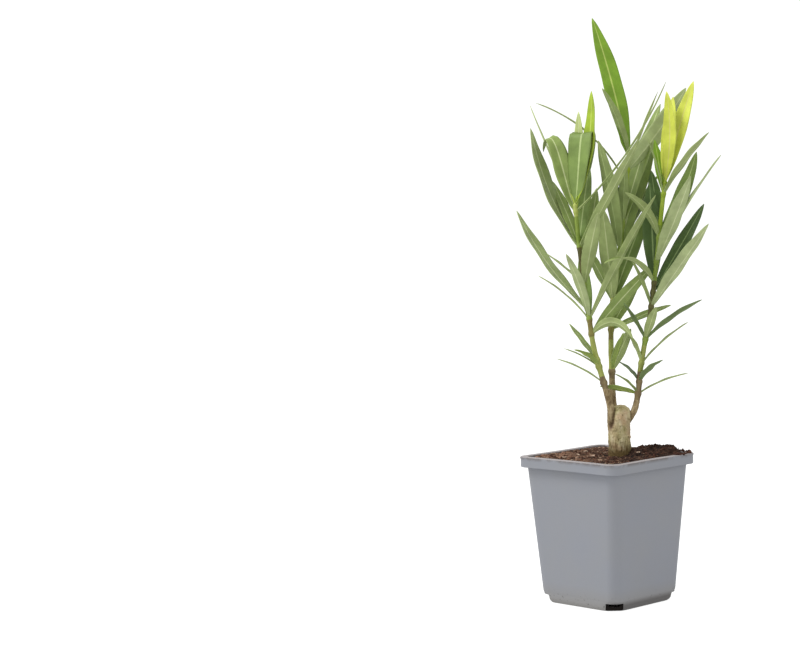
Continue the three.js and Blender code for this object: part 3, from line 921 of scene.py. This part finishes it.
def trunk_point(column, row):
    height = TRUNK_BOTTOM + (TRUNK_TOP - TRUNK_BOTTOM) * row / (TRUNK_ROWS - 1)
    radius, lean = trunk_at(height)
    angle = column / TRUNK_COLUMNS * 2 * math.pi
    ribs = 0.45 * math.sin(3 * angle + height / 9) + 0.22 * math.sin(5 * angle - height / 13)
    reach = radius + ribs * min(1, radius / 8)
    x = TRUNK_FOOT[0] + lean + reach * math.cos(angle)
    y = TRUNK_FOOT[1] + reach * math.sin(angle)
    return placed((x, y, SOIL_LEVEL + height))


def tube(name, points, radii, sides_quality):
    """A closed round limb: a curve with a bevel, made a mesh."""
    limb = add_object(bpy.ops.curve.primitive_bezier_curve_add)
    limb.name = name
    limb.data.splines.clear()
    line = limb.data.splines.new("POLY")
    line.points.add(len(points) - 1)
    for target, point, radius in zip(line.points, points, radii):
        target.co = (*placed(point), 1)
        target.radius = radius
    limb.data.dimensions = "3D"
    limb.data.twist_mode = "MINIMUM"
    limb.data.bevel_depth = MM
    limb.data.bevel_resolution = sides_quality
    limb.data.use_fill_caps = True
    bpy.ops.object.convert(target="MESH")
    piece = bpy.context.object
    start_edit(piece)
    bpy.ops.mesh.remove_doubles(threshold=1e-6)
    end_edit()
    return piece


def bough_line(shoot, steps, belly=0):
    """Middles and radii along the bare bough of a shoot, fuller halfway by the given share."""
    top = share_at_height(shoot["path"], shoot["bough_top"] + 0.5)
    line = []
    for step in range(steps + 1):
        share = top * step / steps
        fuller = 1 + belly * math.sin(math.pi * share / top)
        line.append((limb_point(shoot["path"], share), limb_radius(shoot, share) * fuller))
    return line


def bare_bough(name):
    points, radii = zip(*bough_line(SHOOTS[name], 24, BOUGH_BELLY))
    return tube("bough " + name, points, radii, 4)


trunk = rolled_grid("trunk form", TRUNK_COLUMNS, TRUNK_ROWS, trunk_point)
bark = join_pieces([trunk] + [bare_bough(name) for name in SHOOTS], "bark_trunk_and_boughs")
apply_modifier(bark, "REMESH", mode="VOXEL", voxel_size=BARK_VOXEL * MM, use_smooth_shade=True)
apply_modifier(bark, "SMOOTH", factor=0.6, iterations=5)
mesh_report(bark)

# %% Trunk and boughs: bark relief
BARK_RIB = 0.35
BARK_WRINKLE = 0.28
CREASE_DEPTH = 0.9
CREASE_SPREAD = 1.1
COLLAR_RISE = 0.45
KNOT_RISE = 1.6


def relief_of_bark(piece):
    """Moves every point for its bark, and keeps how young the bark is there and how deep it lies in the fold
    at a bough's foot, which the finish darkens as painted shade.
    """
    back = TURN.inverted()
    boughs = [station for shoot in SHOOTS.values() for station in bough_line(shoot, 30)]
    coat = piece.data.color_attributes.new(name="coat", type="FLOAT_COLOR", domain="POINT")
    moves = []
    for index, vertex in enumerate(piece.data.vertices):
        p = back @ (vertex.co / MM)
        height = p.z - SOIL_LEVEL
        radius, lean = trunk_at(min(height, TRUNK_TOP))
        from_trunk = math.hypot(p.x - TRUNK_FOOT[0] - lean, p.y - TRUNK_FOOT[1]) - radius
        if height > 42.5:
            from_trunk = max(from_trunk, height - 47.1)
        from_bough = min((p - middle).length - wide for middle, wide in boughs)
        crease_and_shade = math.exp(-(max(0, from_trunk) ** 2 + max(0, from_bough) ** 2) / CREASE_SPREAD**2)
        crease_and_shade *= 1 if height > 22 else 0
        if from_trunk < -0.6 and from_bough < -0.6:
            crease_and_shade *= 0.3
        young = min(1, max(0, (from_trunk + 0.4) / 1.6)) if height > 20 else 0
        ribs = noise.noise(Vector((p.x * 0.9, p.y * 0.9, p.z * 0.16)))
        wrinkle = noise.fractal(Vector((p.x * 0.55, p.y * 0.55, p.z * 0.75)), 0.8, 2.2, 4)
        at_foot = 24 < height < 45 and from_trunk < 1
        collar = math.exp(-((from_bough - 2.2) / 1.2) ** 2) if at_foot else 0
        step = BARK_RIB * ribs * (1 - 0.6 * young) + BARK_WRINKLE * wrinkle
        step += COLLAR_RISE * collar - CREASE_DEPTH * crease_and_shade
        knot = max(0, noise.noise(Vector((p.x * 0.28 + 7, p.y * 0.28, p.z * 0.3))) - 0.25)
        moves.append(vertex.normal * (step + KNOT_RISE * knot * (1 - young)) * MM)
        # The second value is how deep the point lies in a crease; the finish darkens it there as painted
        # shade.
        coat.data[index].color = (young, min(1, crease_and_shade), min(1, max(0, (16 - height + 5 * ribs) / 11)), 1)
    for vertex, move in zip(piece.data.vertices, moves):
        vertex.co += move


relief_of_bark(bark)
smooth(bark, 80)
mesh_report(bark)

# %% [markdown]
# Old oleander bark is tan and mottled, with grey-green and pinkish patches and small dark flecks, and the
# young bark of the boughs is browner. The values kept by the relief tell the finish where the bark is
# young, where it is creased, which it darkens as painted shade, and where it nears the damp soil.

# %% Trunk and boughs: finish
def make_bark():
    material = plain_material("tan bark", sight(168, 154, 118), 0.85, 0.25)
    patches = ramp_node(material, noise_node(material, 150, 6, (1, 1, 0.45), 0.7), [
        (0.34, sight(134, 114, 78)), (0.45, sight(178, 162, 120)), (0.57, sight(200, 188, 152)),
        (0.68, sight(216, 208, 180))])
    blush = mix_node(material, 0.4, patches, ramp_node(material, noise_node(material, 75, 4), [
        (0.38, sight(158, 158, 104)), (0.5, sight(194, 180, 138)), (0.62, sight(202, 162, 130))]))
    fleck = share_node(material, noise_node(material, 560, 4, (1, 1, 0.5)), 0.58, 0.70)
    flecked = mix_node(material, fleck, blush, sight(96, 78, 50))
    young_bark = ramp_node(material, noise_node(material, 240, 5, (1, 1, 0.5), 0.65), [
        (0.32, sight(98, 78, 54)), (0.52, sight(148, 130, 96)), (0.7, sight(186, 170, 134))])
    coat = add_node(material, "Attribute")
    coat.attribute_name = "coat"
    young, crease_shade, low = add_node(material, "SeparateColor", Color=coat.outputs["Color"]).outputs
    by_age = mix_node(material, young, flecked, young_bark)
    damp = mix_node(material, low, by_age, sight(92, 75, 42))
    # Painted shade: the bark is darkened in the creases where boughs leave the trunk.
    set_shader(material, Base_Color=mix_node(material, crease_shade, damp, sight(84, 62, 42)))
    bump_from(material, noise_node(material, 700, 5, (1, 1, 0.5)), 0.7, 0.25)
    return material


bark.data.materials.append(make_bark())
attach(bark, "root")
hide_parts("trunk", "bough_left", "bough_middle", "bough_right")

# %% [markdown]
# Above the bare boughs the stems turn from brown to olive and yellow-green. Each stretch is again a curve
# with a bevel, swollen at its nodes, where the whorls sit. Its colour changes from length to length, so
# each length takes one of a few finishes.

# %% Stems: finishes
def make_stem_finish(name, dark, light):
    material = plain_material(name + " stem", dark, 0.6, 0.4)
    mottled = ramp_node(material, noise_node(material, 240, 4, (1, 1, 0.35)), [(0.35, dark), (0.65, light)])
    set_shader(material, Base_Color=mottled)
    bump_from(material, noise_node(material, 500, 3, (1, 1, 0.3)), 0.5, 0.15)
    return material


STEM_TONES = {  # darker and lighter
    "brown": ((104, 86, 58), (136, 120, 84)),
    "reddish": ((118, 104, 54), (134, 132, 64)),
    "dark": ((84, 80, 42), (112, 110, 60)),
    "olive": ((140, 147, 68), (168, 175, 96)),
    "green": ((116, 138, 50), (140, 160, 70)),
    "lime": ((142, 166, 40), (164, 182, 66)),
    "pale": ((158, 172, 76), (178, 186, 104)),
}
STEM_COLOURS = {  # finish up to each height
    "left": [(209, "brown"), (246, "olive"), (262, "reddish"), (296, "green"), (328, "dark"),
             (356, "green"), (400, "pale")],
    "middle": [(214, "brown"), (242, "olive"), (254, "reddish"), (300, "olive"), (360, "green"),
               (430, "lime")],
    "right": [(212, "brown"), (236, "olive"), (262, "green"), (296, "dark"), (346, "green"), (400, "lime")],
}
STEM_FINISHES = {name: make_stem_finish(name, *(sight(*tone) for tone in tones))
                 for name, tones in STEM_TONES.items()}
NODE_SWELL = 0.32
NODE_SPREAD = 2.2


def stem_stretch(name, low, high, title):
    """One stretch of green stem between two heights, swollen at its nodes."""
    shoot = SHOOTS[name]
    start = share_at_height(shoot["path"], low)
    end = share_at_height(shoot["path"], high)
    steps = int((high - low) / 1.2)
    points, radii = [], []
    for step in range(steps + 1):
        share = start + (end - start) * step / steps
        point = limb_point(shoot["path"], share)
        swelling = sum(math.exp(-((point.z - height) / NODE_SPREAD) ** 2) for height, _ in shoot["whorls"])
        wobble = 0.06 * noise.noise(Vector((point.z * 0.12, 3.1, len(name))))
        points.append(point)
        radii.append(limb_radius(shoot, share) * (1 + wobble + NODE_SWELL * min(1, swelling)))
    if high >= shoot["path"][-1][2] - 1:
        for step, taper in enumerate((0.75, 0.45, 0.12)):
            radii[-3 + step] *= taper
    piece = tube(title, points, radii, 5)
    slots = list(dict.fromkeys(finish for _, finish in STEM_COLOURS[name]))
    for finish in slots:
        piece.data.materials.append(STEM_FINISHES[finish])
    for face in piece.data.polygons:
        height = face.center.z / MM
        finish = next(colour for top, colour in STEM_COLOURS[name] if height < top)
        face.material_index = slots.index(finish)
    smooth(piece, 60)
    return piece


# %% [markdown]
# One leaf is modelled with care and every other leaf is a copy of it. It starts as a flat grid, whose
# columns are drawn together at the midrib, and is extruded down into a thin closed blade. Three finishes go
# on it: the upper face, the paler underside and the midrib.

# %% Leaf: the model blade
BLADE_COLUMNS = 12
BLADE_ROWS = 30
RIB_SHARE = 0.075


def drawn_to_rib(across):
    """Columns of the grid, drawn together at the midrib and evenly spread to the edges."""
    size = abs(across)
    first = 2 / BLADE_COLUMNS
    if size < first + 1e-6:
        return across * RIB_SHARE / first
    return math.copysign(RIB_SHARE + (size - first) / (1 - first) * (1 - RIB_SHARE), across)


def shape_blade():
    grid = {"x_subdivisions": BLADE_COLUMNS, "y_subdivisions": BLADE_ROWS, "size": 2}
    blade = add_object(bpy.ops.mesh.primitive_grid_add, **grid)
    blade.name = "model blade"
    for vertex in blade.data.vertices:
        vertex.co = (drawn_to_rib(vertex.co.x), (vertex.co.y + 1) / 2, 1)
    start_edit(blade)
    bpy.ops.mesh.extrude_region_move(TRANSFORM_OT_translate={"value": (0, 0, -2)})
    end_edit()
    for face in blade.data.polygons:
        on_rib = abs(face.center.x) < RIB_SHARE * 0.9 and abs(face.normal.z) > 0.5
        face.material_index = 2 if on_rib else 0 if face.normal.z > 0.5 else 1
        face.use_smooth = True
    return blade


blade_model = shape_blade()
mesh_report(blade_model)

# %% [markdown]
# Leaves of one shoot differ in age: the newest are yellow-green, full-grown ones mid green, and old ones
# dark. Leaves that face away from the lamp or lie in shade inside the crown are given paler palettes as
# painted light, and one palette is only this painted light, no age. Each palette is three colours with a
# slight unevenness, a soft sheen, and on the upper face the fine side veins of oleander, a bump that
# follows the leaf's own UV.

# %% Leaf: finishes
# The sixth palette is no age but painted light: a paler green for leaves that face away from the lamp or lie
# in shade.
LEAF_PALETTES = {  # upper face, underside, midrib
    "pale": ((192, 206, 134), (198, 209, 152), (210, 218, 166)),
    "young": ((200, 208, 82), (207, 215, 110), (204, 201, 112)),
    "spring": ((150, 174, 50), (160, 177, 84), (184, 198, 96)),
    "fresh": ((120, 156, 46), (142, 161, 86), (178, 196, 104)),
    "soft": ((135, 154, 86), (158, 172, 114), (188, 198, 144)),
    "painted_light": ((150, 166, 106), (168, 181, 129), (196, 205, 156)),
    "ripe": ((117, 138, 73), (146, 161, 104), (168, 184, 124)),
    "old": ((76, 98, 52), (112, 130, 84), (130, 150, 98)),
}


def make_leaf_finish(name, colour, roughness, gloss, veins):
    material = plain_material(name, colour, roughness, gloss)
    lighter = tuple(min(1, channel * 1.16) for channel in colour[:3]) + (1,)
    darker = tuple(channel * 0.86 for channel in colour[:3]) + (1,)
    uneven = ramp_node(material, noise_node(material, 70, 3), [(0.35, darker), (0.65, lighter)])
    set_shader(material, Base_Color=uneven)
    if veins:
        own = add_node(material, "UVMap")
        own.uv_map = "blade"
        wave = add_node(material, "TexWave", Vector=own.outputs["UV"], Scale=26, Distortion=0.6)
        wave.wave_type = "BANDS"
        wave.bands_direction = "Y"
        bump_from(material, wave.outputs["Fac"], veins, 0.05)
    return material


leaf_materials = {}
for palette, tones in LEAF_PALETTES.items():
    upper, under, rib = (sight(*tone) for tone in tones)
    leaf_materials[palette] = (
        make_leaf_finish(palette + " leaf upper", upper, 0.5, 0.22, 0.2),
        make_leaf_finish(palette + " leaf underside", under, 0.7, 0.12, 0),
        make_leaf_finish(palette + " leaf midrib", rib, 0.6, 0.2, 0),
    )
print("leaf finishes:", sum(len(finishes) for finishes in leaf_materials.values()))

# %% [markdown]
# A copy becomes a leaf when its grid is laid along a midrib, a Bezier line from the limb's middle to the
# leaf's tip, by the rule of the solid model. Along it the blade widens to its middle and tapers to a
# point. Its halves rise to a shallow keel, its edge is a little wavy, and it thins from the midrib
# outwards. The stalk end is narrow and thick, and sits inside the stem.

# %% Leaf: laying a blade along its midrib
LEAF_WIDTH = 0.165
LEAF_NARROWEST = 9.0
LEAF_WIDEST = 19.5
LEAF_FULLNESS = 0.7
LEAF_KEEL = 0.16
PETIOLE_HALF = 1.1
MIDRIB_SAMPLES = 60
EDGE_THICKNESS = 0.5
MIDDLE_THICKER = 0.35
STALK_THICKER = 1.3
RIB_WIDTH = 0.2
RIB_BELOW = 0.55
RIB_ABOVE = 0.12
WAVE_HEIGHT = 0.1
WAVES = 17


def midrib_of(foot, direction, reach, rise, arch, fold):
    """Points of the midrib evenly spaced by length, its length, and the way it points."""
    angle = math.radians(direction)
    outward = Vector((math.cos(angle), math.sin(angle), 0))
    up = Vector((0, 0, 1))
    chord = math.hypot(reach, rise)
    tip = foot + outward * reach + up * rise
    bulge = (outward * -rise + up * reach) / chord * (arch * chord * 2 / 3)
    lower = foot.lerp(tip, 1 / 3) + bulge
    upper = foot.lerp(tip, 2 / 3) + bulge + up * (fold * chord)
    dense = []
    for step in range(201):
        t = step / 200
        s = 1 - t
        dense.append(foot * s**3 + lower * (3 * s * s * t) + upper * (3 * s * t * t) + tip * t**3)
    lengths = [0.0]
    for a, b in zip(dense, dense[1:]):
        lengths.append(lengths[-1] + (b - a).length)
    points = []
    index = 0
    for step in range(MIDRIB_SAMPLES + 1):
        goal = lengths[-1] * step / MIDRIB_SAMPLES
        while index < 199 and lengths[index + 1] < goal:
            index += 1
        share = (goal - lengths[index]) / max(1e-9, lengths[index + 1] - lengths[index])
        points.append(dense[index].lerp(dense[index + 1], min(1, share)))
    return points, lengths[-1], outward


def lay_blade(foot, leaf, width_factor, twist, waviness, title):
    """One copy of the model blade, laid along the leaf's midrib."""
    direction, reach, rise, arch, palette = leaf[:5]
    own_width, roll, fold = leaf[5:] + (1, 0, 0)[len(leaf) - 5:]
    points, length, outward = midrib_of(foot, direction, reach, rise, arch, fold)
    width = min(max(LEAF_WIDTH * length, LEAF_NARROWEST), LEAF_WIDEST) * width_factor * own_width
    level = outward.cross(Vector((0, 0, 1)))
    rows = []
    for step, centre in enumerate(points):
        share = step / MIDRIB_SAMPLES
        along = (points[min(step + 1, MIDRIB_SAMPLES)] - points[max(step - 1, 0)]).normalized()
        turn = Matrix.Rotation(math.radians(roll + twist), 3, along)
        across = turn @ level
        half = width / 2 * math.sin(math.pi * min(share, 0.997)) ** LEAF_FULLNESS
        half = max(half, PETIOLE_HALF * (1 - share) ** 3, 0.12)
        rows.append((centre, across, across.cross(along), half))
    copy = copy_of(blade_model)
    copy.name = title
    blade_uv = copy.data.uv_layers[0]
    blade_uv.name = "blade"
    for loop in copy.data.loops:
        co = copy.data.vertices[loop.vertex_index].co
        blade_uv.data[loop.index].uv = (0.5 + co.x / 2, co.y * length / 100 - 0.25 * abs(co.x) * width / 100)
    for vertex in copy.data.vertices:
        across_share, along_share, side = vertex.co
        place = along_share * MIDRIB_SAMPLES
        index = min(int(place), MIDRIB_SAMPLES - 1)
        weight = place - index
        centre, across, face, half = (
            a * (1 - weight) + b * weight for a, b in zip(rows[index], rows[index + 1]))
        size = abs(across_share)
        foot_end = max(0, 1 - along_share * 9)
        thick = EDGE_THICKNESS + MIDDLE_THICKER * (1 - size) + STALK_THICKER * foot_end
        rib_height = (RIB_BELOW if side < 0 else RIB_ABOVE) * (1 - 0.7 * along_share)
        rib = rib_height * (1 - min(1, size / RIB_WIDTH))
        keel = LEAF_KEEL * half * size * (1 - 0.5 * foot_end)
        wave = waviness * half * WAVE_HEIGHT * size**2 * math.sin(along_share * WAVES + across_share * 2.2)
        lift = side * (thick / 2 * min(1, half / 1.2) + rib) + keel + wave
        vertex.co = placed(centre + across * (across_share * half) + face * lift)
    for finish in leaf_materials[palette]:
        copy.data.materials.append(finish)
    return copy


# %% [markdown]
# Each mass of leaves of the solid model gives way to two pieces: its stretch of stem and its blades, dealt
# out by the same seeded rule, so that every leaf keeps its place and width. Near the tips a few slips of
# new leaves stand between the large ones.

# %% Masses: stems and leaves
WIDTH_SPREAD = 0.06
TWIST_SPREAD = 8.0
SLIP_ZONE = 45
SLIP_WIDTH = 0.34


def slips_round(count, draw, palette):
    """Short new leaves round a node, upright and close to the stem."""
    turn = draw() * 360
    slips = []
    for k in range(count):
        length = 6 + 5 * draw()
        lean = 0.25 + 0.25 * draw()
        slips.append((turn + 360 / count * k, length * lean, length, 0.06, palette))
    return slips


def grow_mass(name, low, high, draw, slip_draw, title, new_growth):
    shoot = SHOOTS[name]
    blades = []
    for height, leaves in shoot["whorls"]:
        if not low <= height <= high:
            continue
        foot = limb_point(shoot["path"], share_at_height(shoot["path"], height))
        for leaf in leaves:
            width_factor = 1 + (2 * draw() - 1) * WIDTH_SPREAD
            twist = (2 * draw() - 1) * TWIST_SPREAD
            blades.append(lay_blade(foot, leaf, width_factor, twist, 0.6, f"{title} {len(blades)}"))
        if height > shoot["path"][-1][2] - SLIP_ZONE:
            for slip in slips_round(2, slip_draw, new_growth):
                blades.append(lay_blade(foot, slip, SLIP_WIDTH, 0, 0.3, f"{title} {len(blades)}"))
    leaves_piece = join_pieces(blades, title + "_blades")
    stem_piece = stem_stretch(name, low - 1.0, high, title + "_stem")
    for piece in (leaves_piece, stem_piece):
        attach(piece, "root")
        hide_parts(title)
        mesh_report(piece)


leaf_draw = seeded_draws(SEED)
slip_draw = seeded_draws(SEED + 5)
for name, shoot in SHOOTS.items():
    tip = shoot["path"][-1][2]
    grow_mass(name, shoot["bough_top"] + GAP, shoot["mass_split"], leaf_draw, slip_draw,
              f"leaves_{name}_lower", "soft")
    grow_mass(name, shoot["mass_split"] + GAP, tip, leaf_draw, slip_draw,
              f"leaves_{name}_upper", "spring")
bpy.data.objects.remove(blade_model)

# %% [markdown]
# Both boxes, of the solid model and of the finished look, are printed.

# %% Sizes
visual_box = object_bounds()
for title, box in (("solids", cad_box), ("visual", visual_box)):
    print(title, [[round(value * 1000, 1) for value in corner] for corner in box])
